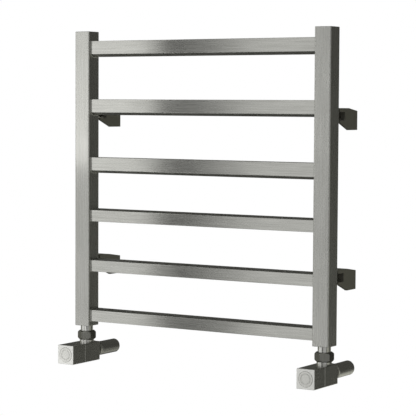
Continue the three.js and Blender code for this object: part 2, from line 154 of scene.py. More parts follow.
# Each patch: its direction, the cosines where it starts and where it is full, and its strength
PATCHES = [((0.0, 1.0, 0.05), 0.955, 0.995, 0.25), ((0.0, 0.94, -0.34), 0.93, 0.985, 0.65),
           ((0.72, 0.50, -0.47), 0.93, 0.985, 0.75), ((0.94, 0.0, -0.34), 0.90, 0.98, 0.55),
           ((-0.98, 0.05, 0.15), 0.80, 0.96, 0.30), ((0.0, 0.1, 1.0), 0.88, 0.97, 0.45)]


def surroundings():
    """The light from a direction is dim, plus each patch's own light where the cosine of the angle to the
    patch's middle rises from its edge value to its core value."""
    world = bpy.data.worlds.new("pale_studio")
    world.use_nodes = True
    tree = world.node_tree
    tree.nodes.clear()
    direction = add(tree, "ShaderNodeTexCoord").outputs["Generated"]
    light = DIM_LIGHT
    for middle, edge, core, strength in PATCHES:
        cosine = add(tree, "ShaderNodeVectorMath",
                     {0: direction, 1: Vector(middle).normalized()}, operation="DOT_PRODUCT").outputs["Value"]
        patch = add(tree, "ShaderNodeMapRange",
                    {"Value": cosine, "From Min": edge, "From Max": core, "To Max": strength},
                    interpolation_type="SMOOTHSTEP").outputs[0]
        light = add(tree, "ShaderNodeMath", {0: light, 1: patch}, operation="ADD").outputs[0]
    path = add(tree, "ShaderNodeLightPath")
    seen = add(tree, "ShaderNodeBackground", {"Color": WHITE, "Strength": 1.0})
    reflected = add(tree, "ShaderNodeBackground", {"Color": DIM_COLOUR, "Strength": light})
    mix = add(tree, "ShaderNodeMixShader",
              {0: path.outputs["Is Camera Ray"], 1: reflected.outputs[0], 2: seen.outputs[0]})
    add(tree, "ShaderNodeOutputWorld", {"Surface": mix.outputs[0]})
    bpy.context.scene.world = world


surroundings()
bpy.context.scene.view_settings.view_transform = "Standard"

# %% A glowing sheet, for the cards and the floor


def sheet_of_light(name, corners, axis, stops):
    """A flat sheet that glows without being lit. Its strength follows a ramp of (place, strength) stops along
    one of its object axes, in metres, straight from stop to stop."""
    mesh = bpy.data.meshes.new(name)
    mesh.from_pydata(corners, [], [(0, 1, 2, 3)])
    material = bpy.data.materials.new(name)
    material.use_nodes = True
    tree = material.node_tree
    tree.nodes.clear()
    start, end = stops[0][0], stops[-1][0]
    split = add(tree, "ShaderNodeSeparateXYZ", {0: add(tree, "ShaderNodeTexCoord").outputs["Object"]})
    along = add(tree, "ShaderNodeMapRange",
                {"Value": split.outputs["XYZ".index(axis.upper())], "From Min": start, "From Max": end})
    ramp = add(tree, "ShaderNodeValToRGB", {"Fac": along.outputs[0]})
    places = [(place - start) / (end - start) for place, _ in stops]
    ramp.color_ramp.elements.remove(ramp.color_ramp.elements[1])
    for number, (place, (_, strength)) in enumerate(zip(places, stops)):
        mark = ramp.color_ramp.elements[0] if number == 0 else ramp.color_ramp.elements.new(place)
        mark.position, mark.color = place, (strength, strength, strength, 1)
    glow = add(tree, "ShaderNodeEmission", {"Color": ramp.outputs["Color"], "Strength": 1.0})
    add(tree, "ShaderNodeOutputMaterial", {"Surface": glow.outputs[0]})
    mesh.materials.append(material)
    made = bpy.data.objects.new(name, mesh)
    bpy.context.scene.collection.objects.link(made)
    return made


# %% The cards in front and the floor
CARD_Y = -0.693
CARD_TOP, CARD_BOTTOM, CARD_LOW, CARD_SPLIT = 0.95, -0.95, -0.365, 0.015
LEFT_FAR, LEFT_EDGE, RIGHT_EDGE, RIGHT_FAR = -1.3, -0.495, -0.46, 0.04
# Each card: its left, right, bottom and top, the axis of its ramp, and the ramp's (place, strength) stops
CARDS = {
    "upper_left_card": (LEFT_FAR, LEFT_EDGE, CARD_SPLIT, CARD_TOP, "z",
                        [(CARD_SPLIT, 2.02), (0.14, 1.75), (0.30, 1.45), (CARD_TOP, 1.1)]),
    "lower_left_card": (LEFT_FAR, LEFT_EDGE, CARD_LOW, CARD_SPLIT, "z", [(CARD_LOW, 1.0), (CARD_SPLIT, 1.0)]),
    "right_card": (RIGHT_EDGE, RIGHT_FAR, CARD_LOW, CARD_TOP, "x",
                   [(RIGHT_EDGE, 0.05), (-0.424, 0.14), (-0.380, 0.48), (-0.336, 0.70), (-0.293, 0.96),
                    (-0.243, 1.16), (-0.193, 1.12), (-0.087, 1.06), (RIGHT_FAR, 1.05)]),
    "far_right_card": (0.26, 1.3, CARD_BOTTOM, CARD_TOP, "x", [(0.26, 0.48), (1.3, 0.60)]),
    "low_left_card": (LEFT_FAR, LEFT_EDGE, CARD_BOTTOM, CARD_LOW, "z", [(CARD_BOTTOM, 1.3), (CARD_LOW, 1.6)]),
    "low_right_card": (-0.30, RIGHT_FAR, CARD_BOTTOM, CARD_LOW, "z", [(CARD_BOTTOM, 0.9), (CARD_LOW, 1.13)]),
}
FLOOR_DROP, FLOOR_HALF = 0.30, 6.0

for name, (left, right, bottom, top, axis, stops) in CARDS.items():
    card = sheet_of_light(name, [(left, CARD_Y, bottom), (left, CARD_Y, top), (right, CARD_Y, top),
                                 (right, CARD_Y, bottom)], axis, stops)
    card.visible_camera = False

floor_z = cad_box[0].z - FLOOR_DROP
floor = sheet_of_light("pale_floor", [(-FLOOR_HALF, -FLOOR_HALF, floor_z), (FLOOR_HALF, -FLOOR_HALF, floor_z),
                                      (FLOOR_HALF, FLOOR_HALF, floor_z), (-FLOOR_HALF, FLOOR_HALF, floor_z)],
                       "x", [(-FLOOR_HALF, 1.0), (FLOOR_HALF, 1.0)])
floor.visible_glossy = False

# %% A soft lamp above, for the seals and other dull pieces
LAMP_PLACE, LAMP_SIZE, LAMP_WATTS = Vector((0.3, -1.2, 1.4)), 1.2, 6


def soft_lamp():
    """A square area lamp that faces the middle of the rack."""
    light = bpy.data.lights.new("soft_lamp", "AREA")
    light.size, light.energy = LAMP_SIZE, LAMP_WATTS
    lamp = bpy.data.objects.new("soft_lamp", light)
    facing = (-LAMP_PLACE).to_track_quat("-Z", "Y").to_matrix().to_4x4()
    lamp.matrix_world = Matrix.Translation(LAMP_PLACE) @ facing
    lamp.visible_camera = False
    bpy.context.scene.collection.objects.link(lamp)


soft_lamp()

# %% [markdown]
# ## Materials
# The tubes and bars are grade 304 stainless steel drawn over a 240 grit belt. The belt runs along each
# tube, so it leaves long parallel scratches: reflections stay sharp along the grain and smear out across
# it. The scratches are a noise pattern stretched more than fifty times along the tube, which drives a
# little colour, the roughness and a bump. The real ones are about 0.05 mm apart; they are drawn at
# 0.45 mm and 1.6 mm so that they show. The nickel on the valves uses the same pattern without the smear.

# %% Helpers for metals


def plain_material(name, roughness, metallic=1.0):
    """A new material, a metal unless told otherwise: returns it with its node tree and its surface node."""
    material = bpy.data.materials.new(name)
    material.use_nodes = True
    tree = material.node_tree
    tree.nodes.clear()
    surface = add(tree, "ShaderNodeBsdfPrincipled", {"Metallic": metallic, "Roughness": roughness})
    add(tree, "ShaderNodeOutputMaterial", {"Surface": surface.outputs["BSDF"]})
    return material, tree, surface


def pattern(tree, spacing, centre=(0, 0, 0), detail=2.0):
    """Noise on object coordinates whose spacing in metres is given for x, y and z."""
    where = add(tree, "ShaderNodeTexCoord")
    scale = tuple(1 / s for s in spacing)
    shift = tuple(-c * k for c, k in zip(centre, scale))
    mapped = add(tree, "ShaderNodeMapping",
                 {"Vector": where.outputs["Object"], "Location": shift, "Scale": scale})
    return add(tree, "ShaderNodeTexNoise",
               {"Vector": mapped.outputs[0], "Scale": 1.0, "Detail": detail, "Roughness": 0.55})


def spread(tree, value, low, high, start=0.3, end=0.7):
    """Maps a noise value from its usual range to the range low to high."""
    return add(tree, "ShaderNodeMapRange",
               {"Value": value, "From Min": start, "From Max": end, "To Min": low, "To Max": high}).outputs[0]


def tint(tree, surface, value, dark, bright):
    """Colours the surface between two hex values by a value from 0 to 1."""
    mixed = add(tree, "ShaderNodeMix",
                {"Factor": value, "A": linear(dark), "B": linear(bright)}, data_type="RGBA")
    tree.links.new(mixed.outputs["Result"], surface.inputs["Base Color"])


def relief(tree, surface, height, depth, strength):
    """Bumps the surface by a height value, depth metres from low to high."""
    bump = add(tree, "ShaderNodeBump", {"Height": height, "Distance": depth, "Strength": strength})
    tree.links.new(bump.outputs[0], surface.inputs["Normal"])


# %% Brushed stainless steel
GRIT, STREAK, RUN = 0.45 * MM, 1.6 * MM, 28 * MM
CLOUD, SCRATCH_DEPTH, SCRATCH_ROUGHNESS = 70 * MM, 0.01 * MM, 0.02
ALONG = {"x": (1, 0, 0), "y": (0, 1, 0), "z": (0, 0, 1)}
GRAIN_STRETCH, QUARTER_TURN = 0.97, 0.25


def along_grain(axis, across, run):
    """Spacing for x, y and z: run along the grain's axis, across in the other two."""
    return tuple(run if name == axis else across for name in "xyz")


def brushed_metal(name, axis, dark, bright, roughness=(0.25, 0.29), stretch=GRAIN_STRETCH):
    """A metal brushed or turned along one axis. The tangent is the grain's axis, and the quarter turn puts
    the wide side of each reflection across it. A stretch of 0 keeps the lines and leaves reflections
    round."""
    material, tree, surface = plain_material(name, roughness[0])
    grain = add(tree, "ShaderNodeCombineXYZ", dict(zip("XYZ", ALONG[axis])))
    tree.links.new(grain.outputs[0], surface.inputs["Tangent"])
    surface.inputs["Anisotropic"].default_value = stretch
    surface.inputs["Anisotropic Rotation"].default_value = QUARTER_TURN
    scratches = pattern(tree, along_grain(axis, GRIT, RUN), detail=3.0).outputs["Fac"]
    streaks = pattern(tree, along_grain(axis, STREAK, 3 * RUN)).outputs["Fac"]
    clouds = pattern(tree, (CLOUD,) * 3).outputs["Fac"]
    both = add(tree, "ShaderNodeMath", {0: scratches, 1: streaks}, operation="ADD").outputs[0]
    lines = add(tree, "ShaderNodeMath", {0: both, 1: 0.5}, operation="MULTIPLY").outputs[0]
    tint(tree, surface, spread(tree, lines, 0, 1, 0.35, 0.65), dark, bright)
    rough = spread(tree, clouds, *roughness)
    fine = spread(tree, scratches, -SCRATCH_ROUGHNESS, SCRATCH_ROUGHNESS)
    total = add(tree, "ShaderNodeMath", {0: rough, 1: fine}, operation="ADD")
    tree.links.new(total.outputs[0], surface.inputs["Roughness"])
    relief(tree, surface, lines, SCRATCH_DEPTH, 0.3)
    return material


tube_steel_upright = brushed_metal("brushed_stainless_upright", "z", "b0b0ab", "c2c2bd")
tube_steel_bar = brushed_metal("brushed_stainless_bar", "x", "9e9e99", "b7b7b2")
valve_steel = brushed_metal("satin_nickel_plate", "y", "c0c0bc", "d2d2ce", (0.24, 0.28), 0.0)
# The nuts are the same nickel plate as the valve body, given a much darker colour as painted shade, so they
# read dark where the plate would catch the light.
nut_nickel_painted_dark = brushed_metal("turned_nickel_plate_painted_shade", "z", "74746e", "8c8c86", (0.24, 0.30), 0.0)

# %% [markdown]
# ## Turned faces
# The round covers in the valve heads are faced on a lathe, so their scratches are rings about the middle
# of the cover. A ring pattern is a function of the distance from the axis alone, so each cover has its
# own centre. The distance is worked out from object coordinates, and one noise reads it.

# %% Spun nickel
RING_SPACING, RING_DEPTH, SPUN_ROUGHNESS = 0.55 * MM, 0.04 * MM, (0.22, 0.36)


def spun_nickel(name, centre_x, centre_z):
    """Nickel plate faced on a lathe about a Y axis through (centre_x, centre_z)."""
    material, tree, surface = plain_material(name, SPUN_ROUGHNESS[0])
    where = add(tree, "ShaderNodeTexCoord")
    centred = add(tree, "ShaderNodeMapping",
                  {"Vector": where.outputs["Object"], "Location": (-centre_x, 0, -centre_z),
                   "Scale": (1, 0, 1)})
    distance = add(tree, "ShaderNodeVectorMath", {0: centred.outputs[0]}, operation="LENGTH").outputs["Value"]
    ring = add(tree, "ShaderNodeMath", {0: distance, 1: 1 / RING_SPACING}, operation="MULTIPLY").outputs[0]
    rings = add(tree, "ShaderNodeTexNoise", {"W": ring, "Scale": 1.0, "Detail": 2.0}, noise_dimensions="1D")
    tint(tree, surface, spread(tree, rings.outputs["Fac"], 0, 1), "b9b9b4", "cfcfca")
    tree.links.new(spread(tree, rings.outputs["Fac"], *SPUN_ROUGHNESS), surface.inputs["Roughness"])
    relief(tree, surface, rings.outputs["Fac"], RING_DEPTH, 0.5)
    return material


# %% [markdown]
# ## The other metals and the seals
# The brackets are castings with a satin plate, which has no grain, only a faint mottle. Screws and
# pins are machined steel with turning lines round them. The valve's inside is free-machining brass, the
# supply pipe is drawn copper with a brown tarnish, and the seals are black nitrile rubber.

# %% Satin, turned, drawn and moulded finishes
SPOT_DEPTH = 0.03 * MM
RUBBER_GRAIN, RUBBER_DEPTH, RUBBER_ROUGHNESS = 0.6 * MM, 0.05 * MM, (0.72, 0.9)


def mottled(name, dark, bright, roughness, spacing, bump=0.3):
    """A metal without grain: colour and roughness wander over spots of the given spacing."""
    material, tree, surface = plain_material(name, roughness[0])
    spots = pattern(tree, (spacing,) * 3, detail=4.0).outputs["Fac"]
    tint(tree, surface, spread(tree, spots, 0, 1), dark, bright)
    tree.links.new(spread(tree, spots, *roughness), surface.inputs["Roughness"])
    relief(tree, surface, spots, SPOT_DEPTH, bump)
    return material


bracket_steel = mottled("satin_plated_casting", "8c8b82", "a7a69c", (0.50, 0.60), 1.4 * MM)
fastener_steel = brushed_metal("turned_steel", "y", "6f6e6a", "99978f", (0.36, 0.46))
welded_steel = mottled("machined_weld_boss", "77756f", "97958e", (0.40, 0.52), 0.9 * MM)
brass = mottled("free_machining_brass", "a5803a", "c9a75a", (0.28, 0.40), 2.5 * MM, 0.2)
copper = mottled("drawn_copper_tarnished", "8d4e33", "bf7a55", (0.32, 0.48), 6 * MM, 0.2)


def nitrile_rubber():
    """Black moulded seal rubber: not a metal, nearly matt, with a fine mould texture."""
    material, tree, surface = plain_material("nitrile_rubber", RUBBER_ROUGHNESS[0], 0.0)
    grain = pattern(tree, (RUBBER_GRAIN,) * 3).outputs["Fac"]
    tint(tree, surface, spread(tree, grain, 0, 1), "161616", "262625")
    tree.links.new(spread(tree, grain, *RUBBER_ROUGHNESS), surface.inputs["Roughness"])
    relief(tree, surface, grain, RUBBER_DEPTH, 0.4)
    return material


seal_rubber = nitrile_rubber()
print("materials:", sorted(m.name for m in bpy.data.materials))

# %% [markdown]
# ## Rings and lofts
# Tube, bar, valve block and nut are all the same kind of surface: a closed ring of points, repeated along
# an axis while its shape changes. A ring has the same number of points whether it is a rounded square or
# a circle, so one surface can pass from a square outside, over its edge, into a round hole. The corners'
# arcs have a close pair of points at each end, which keeps the flats between them truly flat in shading.
# An outline that is given point by point has its corners broken instead: each is swapped for a small
# curve, as a maker does with a file.

# %% Ring shapes
ARC = 10
KEEP_FLAT, LEAST_CORNER = 0.3 * MM, 0.5 * MM
QUARTER = np.arange(4)[:, None] * np.pi / 2
ARC_ANGLES = QUARTER + np.linspace(0, np.pi / 2, ARC)[None, :]
RING = 4 * (ARC + 2)
ROUND_ANGLES = (np.arange(RING) + 0.5) * 2 * np.pi / RING
BREAK_STEPS, CURVE_SHARE, FLAT_SHARE = 4, 0.42, 0.48


def rounded(half_a, half_b, radii):
    """Points (a, b) round a rectangle, anticlockwise from its right side. Each corner is a quarter circle
    whose centre is its radius in from both sides, with one more point on the straight side before and
    after it."""
    r = np.broadcast_to(np.asarray(radii, float), (4,))[:, None]
    centre_a = np.array([1, -1, -1, 1])[:, None] * (half_a - r)
    centre_b = np.array([1, 1, -1, -1])[:, None] * (half_b - r)
    arc = np.stack([centre_a + r * np.cos(ARC_ANGLES), centre_b + r * np.sin(ARC_ANGLES)], -1)
    start, end = ARC_ANGLES[:, :1], ARC_ANGLES[:, -1:]
    before = arc[:, :1] - KEEP_FLAT * np.stack([-np.sin(start), np.cos(start)], -1)
    after = arc[:, -1:] + KEEP_FLAT * np.stack([-np.sin(end), np.cos(end)], -1)
    return np.concatenate([before, arc, after], 1).reshape(-1, 2)


def broken(outline, size, closed=True):
    """The outline with each corner replaced by a quadratic curve between the points that lie size along both
    of its sides, or less on a short side: (1-t)^2 A + 2t(1-t) corner + t^2 B. One more point on the straight
    side before and after it keeps the flats flat."""
    p = np.asarray(outline, float)
    ends, beside = [], []
    for other in (np.roll(p, 1, 0), np.roll(p, -1, 0)):
        length = np.linalg.norm(other - p, axis=1, keepdims=True)
        along = (other - p) / length
        reach = np.minimum(size, CURVE_SHARE * length)
        ends.append(p + along * reach)
        beside.append((p + along * np.minimum(reach + KEEP_FLAT, FLAT_SHARE * length))[:, None])
    t = np.linspace(0, 1, BREAK_STEPS)[None, :, None]
    curve = (1 - t) ** 2 * ends[0][:, None] + 2 * t * (1 - t) * p[:, None] + t ** 2 * ends[1][:, None]
    curve = np.concatenate([beside[0], curve, beside[1]], 1)
    if not closed:
        curve[0], curve[-1] = p[0], p[-1]
    return curve.reshape(-1, 2)


def circle(radius, angles=ROUND_ANGLES):
    """Points (a, b) round a circle: radius times the cosine and the sine of each angle."""
    return radius * np.stack([np.cos(angles), np.sin(angles)], -1)


# %% Placing rings and closing them into a mesh


def placed(axis, rings, stations, centre=(0, 0, 0)):
    """Rings (rows, points, 2) set along an axis at the given stations, as points (rows, points, 3)."""
    rings = np.asarray(rings, float)
    a, b = rings[..., 0], rings[..., 1]
    s = np.broadcast_to(np.asarray(stations, float)[:, None], a.shape)
    order = {"x": (s, a, b), "y": (a, s, b), "z": (a, b, s)}[axis]
    return np.stack(order, -1) + np.asarray(centre, float)


def closed_mesh(name, grid, ends):
    """A mesh of quads over a grid of rings. Ends 'loop' joins the last ring to the first, 'poles' closes
    each end with a fan to its middle, and 'flat' closes each end with one flat face."""
    rows, count = grid.shape[:2]
    i = np.arange(rows if ends == "loop" else rows - 1)[:, None]
    j = np.arange(count)[None, :]
    here, there = i * count, ((i + 1) % rows) * count
    step = (j + 1) % count
    quads = np.stack([here + j, here + step, there + step, there + j], -1).reshape(-1, 4)
    points, faces = grid.reshape(-1, 3), quads.tolist()
    last = (rows - 1) * count
    if ends == "poles":
        points = np.concatenate([points, grid[[0, -1]].mean(1)])
        first_pole, last_pole = rows * count, rows * count + 1
        ring, after = np.arange(count), (np.arange(count) + 1) % count
        faces += np.stack([after, ring, np.full(count, first_pole)], -1).tolist()
        faces += np.stack([last + ring, last + after, np.full(count, last_pole)], -1).tolist()
    elif ends == "flat":
        faces += [np.arange(count)[::-1].tolist(), (last + np.arange(count)).tolist()]
    mesh = bpy.data.meshes.new(name)
    mesh.from_pydata(points.tolist(), [], faces)
    return mesh


SHARP = math.radians(32)


def outward(mesh):
    """Turns the faces outwards if the signed volume is negative, shades smooth and marks the sharp edges."""
    body = bmesh.new()
    body.from_mesh(mesh)
    volume = body.calc_volume(signed=True)
    body.free()
    if volume < 0:
        mesh.flip_normals()
    mesh.shade_smooth()
    mesh.set_sharp_from_angle(angle=SHARP)
    return abs(volume)


def piece(name, mesh, material, slot, body, *nodes):
    """A finished piece: it rides on a body, stands for CAD nodes, which it hides, and takes the material it
    is given. The slot argument is not used.
    """
    volume = outward(mesh)
    made = bpy.data.objects.new(name, mesh)
    bpy.context.scene.collection.objects.link(made)
    mesh.materials.clear()
    mesh.materials.append(material)
    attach(made, body)
    if nodes:
        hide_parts(*nodes)
    print(f"{name}: {len(mesh.polygons)} faces, {volume * 1e6:.1f} cm3")
    return made


# %% [markdown]
# ## The uprights
# Each upright is a 30 mm square tube with a plate welded into its top and bottom and ground flush, so the
# outside is one smooth skin: the square section runs straight from end to end and turns over a small
# radius at both ends. The ring of the section shrinks as it passes over that edge, and the last ring is
# closed flat.

# %% Sections that turn over an edge
EDGE_STEPS = 5


def over_edge(radius):
    """How far a section draws in and how far it has still to go, over a quarter-circle edge: both start from
    the side, as (inset, set back) = radius times (1 - sin t, 1 - cos t) with t from 90 degrees to 0."""
    t = np.linspace(np.pi / 2, 0, EDGE_STEPS)
    return radius * (1 - np.sin(t)), radius * (1 - np.cos(t))


def skin(low, high, edge):
    """Stations and insets of a straight run from low to high whose two ends turn over an edge radius. A close
    pair of stations keeps the run straight and the end faces flat."""
    inset, back = over_edge(edge)
    end_inset = np.concatenate([[0], inset, [edge + KEEP_FLAT]])
    end_back = np.concatenate([[edge + KEEP_FLAT], back, [0]])
    stations = np.concatenate([low + end_back[::-1], high - end_back])
    return stations, np.concatenate([end_inset[::-1], end_inset])


def upright(side, x):
    """A rounded square section carried up Z, from the bottom plate's face to the top plate's."""
    low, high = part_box(f"bottom_bush_{side}")[0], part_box(f"top_cap_{side}")[1]
    half = (high.x - low.x) / 2
    stations, insets = skin(low.z, high.z, TUBE_END_EDGE)
    rings = [rounded(half - d, half - d, max(TUBE_CORNER - d, LEAST_CORNER)) for d in insets]
    grid = placed("z", rings, stations, (x, FRAME_Y, 0))
    nodes = [f"upright_{side}", f"top_cap_{side}", f"bottom_bush_{side}"]
    return piece(f"upright_tube_{side}", closed_mesh(f"upright_tube_{side}", grid, "flat"),
                 tube_steel_upright, "tube_steel", "rack", *nodes)


# %% Both uprights
TUBE_CORNER, TUBE_END_EDGE = 2.4 * MM, 0.9 * MM
AXIS_X = (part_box("upright_right")[0].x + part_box("upright_right")[1].x) / 2
SIDES = {"left": -AXIS_X, "right": AXIS_X}
for side, x in SIDES.items():
    upright(side, x)

# %% [markdown]
# ## The bars
# The bars are flat tube, 20 mm deep, butted against the uprights and welded all round with a thin bead.
# Along one front edge, below the upper three and above the lower three, the tube is cut back at a slant,
# which shows as a dark line because it faces away from the light. The bead is part of the same surface:
# near each end the section grows outwards along a quarter circle until it meets the upright.

# %% Bars with their weld beads
BEAD, BEAD_STEPS, PAST_BEAD = 1.3 * MM, 6, 1.3
BAR_EDGE, UNDERCUT_DEEP = 0.8 * MM, 8.0 * MM
UNDERCUT_HIGH = {-1: 4.4 * MM, 1: 2.4 * MM}
MIDDLE_Z = (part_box("bar_3")[0].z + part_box("bar_4")[1].z) / 2


def bead_growth(distance):
    """How far the section has grown at a distance from the upright: the bead less the height of a quarter
    circle."""
    reach = np.clip(1 - distance / BEAD, 0, 1)
    return BEAD * (1 - np.sqrt(1 - reach ** 2))


def bar_section(half_y, half_z, growth, turn):
    """A rectangle in (y, z) grown all round, whose front edge on the side that turn points to (-1 below, 1
    above) is cut back at a slant, with every corner broken."""
    front, back, end = -half_y - growth, half_y + growth, half_z + growth
    corners = [(front, UNDERCUT_HIGH[turn] - half_z), (UNDERCUT_DEEP - half_y, -end), (back, -end),
               (back, end), (front, end)]
    points = broken(corners, BAR_EDGE)
    return points if turn < 0 else points[::-1] * (1, -1)


def bar(number):
    """The section carried along X between the uprights, growing into the bead at both ends."""
    low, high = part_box(f"bar_{number}")
    half_y, half_z = (high.y - low.y) / 2, (high.z - low.z) / 2
    turn = -1 if low.z > MIDDLE_Z else 1
    over_bead = BEAD * (1 - np.cos(np.linspace(0, np.pi / 2, BEAD_STEPS)))
    from_end = np.concatenate([over_bead, [BEAD * PAST_BEAD]])
    stations = np.concatenate([low.x + from_end, high.x - from_end[::-1]])
    growth = bead_growth(np.concatenate([from_end, from_end[::-1]]))
    rings = [bar_section(half_y, half_z, g, turn) for g in growth]
    centre = (0, (low.y + high.y) / 2, (low.z + high.z) / 2)
    grid = placed("x", rings, stations, centre)
    return piece(f"cross_bar_{number}", closed_mesh(f"cross_bar_{number}", grid, "flat"),
                 tube_steel_bar, "tube_steel", "rack", f"bar_{number}")


for number in range(1, 7):
    bar(number)

# %% [markdown]
# ## Turned pieces
# Pins, bosses, collars, pipes and covers are made on a lathe: an outline of (radius, station) points is
# swept round an axis. A sharp outline looks computed, so each of its corners is broken first.

# %% Outlines and sweeps
TURN, FILED, FINE_FILED = 64, 0.35 * MM, 0.25 * MM
TURN_ANGLES = np.arange(TURN) * 2 * np.pi / TURN


def turned(name, axis, outline, centre, edge=FILED):
    """A surface swept round an axis from an outline of (radius, station) in metres from the centre. An
    outline that starts and ends on the axis is closed with poles, and any other closes on itself."""
    on_axis = outline[0][0] == 0
    points = broken(outline, edge, not on_axis)
    if on_axis:
        points = points[BREAK_STEPS + 2:-BREAK_STEPS - 2]
    rings = points[:, 0, None, None] * circle(1.0, TURN_ANGLES)[None]
    return closed_mesh(name, placed(axis, rings, points[:, 1], centre), "poles" if on_axis else "loop")


def in_mm(*outline):
    """An outline given in millimetres, in metres."""
    return (np.array(outline, float) * MM).tolist()


# %% [markdown]
# ## Wall brackets
# Each bracket is a block whose forked front end takes a round pin that stands out of the upright. It is a
# wide arm, level along the front and falling a little towards the wall, and a thin cheek on the right side
# that reaches below the arm and tapers up towards the fork. Each is a side outline carried across a width.
# The two are united, the holes for the wall screw and the grub screw are cut with cutters shaped like
# drills, and every sharp edge gets a small chamfer, as on a casting that has been filed.

# %% The bracket's block
FORK_DEPTH, FORK_HALF = 19 * MM, 7 * MM
BLOCK_FULL, BLOCK_TIP = 30 * MM, 10 * MM
BLOCK_TOP, BLOCK_WALL_TOP = 13 * MM, 8.5 * MM
BLOCK_CHAMFER, CHEEK = 0.7 * MM, 4 * MM
WALL_HOLE, GRUB_HOLE, GRUB_FROM_WALL = 2.75 * MM, 2.7 * MM, 30 * MM
WALL_DRILL, GRUB_DRILL = (-8 * MM, 5 * MM), (-30 * MM, -5 * MM)


def arm_outline(low, high, pin_z):
    """The arm's side view as (y, z) points, anticlockwise from its lower wall corner."""
    front, fork_floor, under = low.y, low.y + FORK_DEPTH, pin_z - BLOCK_TIP
    return [(high.y, under), (high.y, pin_z + BLOCK_WALL_TOP), (-BLOCK_FULL, pin_z + BLOCK_TOP),
            (front, pin_z + BLOCK_TOP), (front, pin_z + FORK_HALF), (fork_floor, pin_z + FORK_HALF),
            (fork_floor, pin_z - FORK_HALF), (front, pin_z - FORK_HALF), (front, under)]


def cheek_outline(low, high, pin_z):
    """The cheek's side view: from inside the arm it reaches down to a foot at the wall and tapers up to
    the fork."""
    inside = pin_z - (FORK_HALF + BLOCK_TIP) / 2
    return [(high.y, low.z), (high.y, inside), (low.y, inside), (low.y, pin_z - BLOCK_TIP),
            (-BLOCK_FULL, low.z)]


def slab(outline, low, high):
    """A side outline carried straight across X from low to high."""
    return closed_mesh("slab", placed("x", [outline, outline], [low, high]), "flat")


def chamfered(mesh, width):
    """The mesh with every edge sharper than SHARP cut off by a flat chamfer of the given width."""
    target = bpy.data.objects.new("being_chamfered", mesh)
    bpy.context.scene.collection.objects.link(target)
    modifier = target.modifiers.new("chamfer", "BEVEL")
    modifier.width, modifier.segments, modifier.limit_method, modifier.angle_limit = width, 1, "ANGLE", SHARP
    result = bpy.data.meshes.new_from_object(target.evaluated_get(bpy.context.evaluated_depsgraph_get()))
    bpy.data.objects.remove(target)
    return result


def cut_with(mesh, cutters):
    """The mesh less each cutter mesh, made with Boolean modifiers that are applied at once."""
    target = bpy.data.objects.new("being_cut", mesh)
    bpy.context.scene.collection.objects.link(target)
    tools = []
    for cutter in cutters:
        outward(cutter)
        tool = bpy.data.objects.new("cutter", cutter)
        bpy.context.scene.collection.objects.link(tool)
        tools.append(tool)
        modifier = target.modifiers.new("cut", "BOOLEAN")
        modifier.operation, modifier.solver, modifier.object = "DIFFERENCE", "EXACT", tool
    result = bpy.data.meshes.new_from_object(target.evaluated_get(bpy.context.evaluated_depsgraph_get()))
    for leftover in [target, *tools]:
        bpy.data.objects.remove(leftover)
    return result


def joined(name, meshes):
    """One mesh made of several closed shells that meet inside each other, united into one skin."""
    first = bpy.data.objects.new("first_shell", meshes[0])
    bpy.context.scene.collection.objects.link(first)
    others = []
    outward(meshes[0])
    for mesh in meshes[1:]:
        outward(mesh)
        other = bpy.data.objects.new("other_shell", mesh)
        bpy.context.scene.collection.objects.link(other)
        others.append(other)
        modifier = first.modifiers.new("unite", "BOOLEAN")
        modifier.operation, modifier.solver, modifier.object = "UNION", "EXACT", other
    result = bpy.data.meshes.new_from_object(first.evaluated_get(bpy.context.evaluated_depsgraph_get()))
    result.name = name
    for leftover in [first, *others]:
        bpy.data.objects.remove(leftover)
    return result


def drill(axis, radius, ends, centre):
    """A round cutter on an axis, between its two ends."""
    start, end = ends
    return turned("drill", axis, [(0, start), (radius, start), (radius, end), (0, end)], centre)


def bracket_block(name, x, pin_z):
    """The wide arm united with the cheek on its right side, less its two drilled holes."""
    low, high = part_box(f"bracket_{name}_block")
    arm = slab(arm_outline(low, high, pin_z), low.x, high.x)
    cheek = slab(cheek_outline(low, high, pin_z), high.x - CHEEK, high.x)
    drills = [drill("y", WALL_HOLE, WALL_DRILL, (x, 0, pin_z)),
              drill("z", GRUB_HOLE, GRUB_DRILL, (x, -GRUB_FROM_WALL, pin_z))]
    block = chamfered(cut_with(joined("bracket_block", [arm, cheek]), drills), BLOCK_CHAMFER)
    block.name = f"bracket_block_{name}"
    return piece(f"bracket_block_{name}", block, bracket_steel, "bracket_steel", "rack",
                 f"bracket_{name}_block")


# %% Its pin and boss
PIN_RADIUS, PIN_EDGE = 5 * MM, 0.8 * MM
BOSS_PROUD = 0.25 * MM


def bracket_pin(name, x, pin_z):
    """A plain round pin from inside the upright into the block, and the flush boss that it screws into."""
    low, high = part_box(f"bracket_{name}_pin")
    side_view = [(0, low.y), (PIN_RADIUS, low.y), (PIN_RADIUS, high.y), (0, high.y)]
    pin = turned(f"bracket_pin_{name}", "y", side_view, (x, 0, pin_z), PIN_EDGE)
    piece(f"bracket_pin_{name}", pin, fastener_steel, "fastener_steel", "rack", f"bracket_{name}_pin")
    low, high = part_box(f"bracket_{name}_boss")
    radius, face = (high.z - low.z) / 2, high.y + BOSS_PROUD
    boss = turned(f"bracket_boss_{name}", "y", [(0, low.y), (radius, low.y), (radius, face), (0, face)],
                  (x, 0, pin_z), BOSS_PROUD)
    piece(f"bracket_boss_{name}", boss, welded_steel, "welded_steel", "rack", f"bracket_{name}_boss")


for level in ("upper", "lower"):
    for side, x in SIDES.items():
        pin_low, pin_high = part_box(f"bracket_{level}_{side}_pin")
        pin_z = (pin_low.z + pin_high.z) / 2
        bracket_block(f"{level}_{side}", x, pin_z)
        bracket_pin(f"{level}_{side}", x, pin_z)

